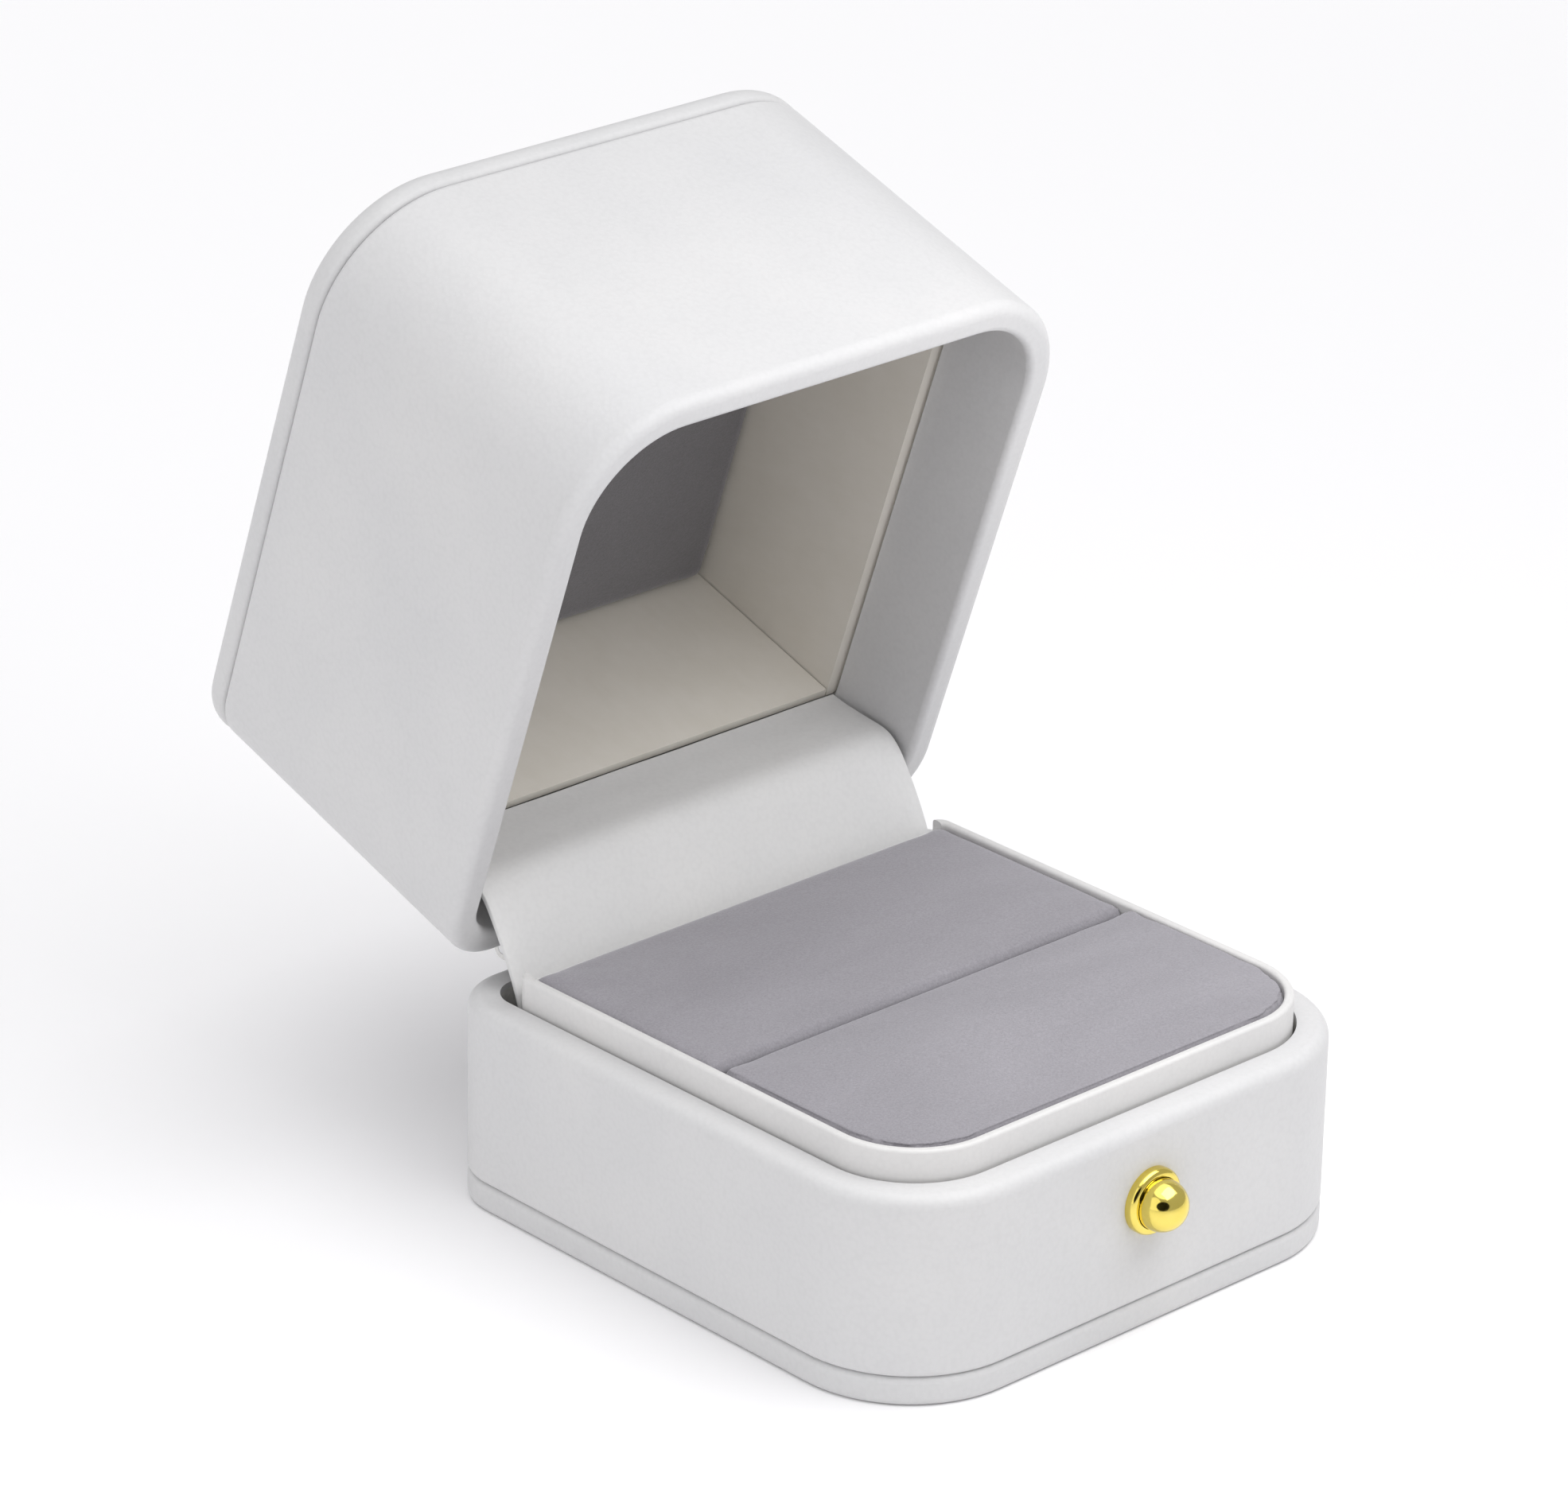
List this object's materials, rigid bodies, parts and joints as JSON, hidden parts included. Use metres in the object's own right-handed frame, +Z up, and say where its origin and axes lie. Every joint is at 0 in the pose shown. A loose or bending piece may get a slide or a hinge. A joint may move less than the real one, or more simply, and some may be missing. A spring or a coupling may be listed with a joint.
{
  "type": "ring box",
  "caption": "Leatherette clamshell ring box with a deep hinged lid, velvet ring pads and a domed gold stud, stored open.",
  "frame": {"origin": "centre of the base's underside, on the surface that the box stands on", "axes": "+X to the right seen from the front, front face with the gold stud towards -Y, +Z up; the lid is open 71.3 degrees towards +Y"},
  "size_m": [0.0528, 0.0884, 0.0808],
  "materials": {
    "leatherette_outer": "smooth matte pale grey-white leatherette",
    "leatherette_plate": "smooth matte pale grey-white leatherette",
    "leatherette_collar": "smooth matte off-white leatherette",
    "leatherette_flap": "smooth matte pale grey leatherette",
    "greyboard": "dense compressed board",
    "shell_board": "moulded inner shell, satin",
    "velvet_pad": "short-pile grey velvet over foam",
    "velvet_lid": "short-pile dark grey velvet over foam",
    "liner_paper": "cream satin liner card",
    "gold": "polished gold plating",
    "hinge_enamel": "pale enamelled spring steel",
    "steel": "bright nickel-plated steel",
    "spring_steel": "drawn spring steel"
  },
  "bodies": {
    "base": {"bottom_plate": "leatherette_plate", "base_cover": "leatherette_outer", "base_shell": "shell_board", "base_collar": "leatherette_collar", "pad_riser": "greyboard", "pad_board": "greyboard", "front_pad": "velvet_pad", "back_pad": "velvet_pad", "slot_strip": "velvet_pad", "stud_bezel": "gold", "stud_dome": "gold", "stud_washer": "steel", "base_hinge_bracket": "hinge_enamel", "hinge_pin": "steel", "base_rivets": "steel", "snap_leaf": "spring_steel", "snap_leaf_rivets": "steel", "hinge_flap": "leatherette_flap"},
    "lid": {"lid_cover": "leatherette_outer", "lid_shell": "shell_board", "lid_top_plate": "leatherette_plate", "lid_liner_front": "liner_paper", "lid_liner_right": "liner_paper", "lid_liner_left": "liner_paper", "lid_liner_back": "liner_paper", "lid_back_board": "greyboard", "lid_pad_board": "greyboard", "lid_top_pad": "velvet_lid", "lid_hinge_bracket": "hinge_enamel", "lid_rivets": "steel"}
  },
  "joints": [
    {"name": "lid_hinge", "type": "hinge", "parent": "base", "child": "lid", "pos_m": [0, 0.0279, 0.0189], "axis": [1, 0, 0], "range_deg": [0, 71.3], "deforming": ["hinge_flap"]}
  ]
}
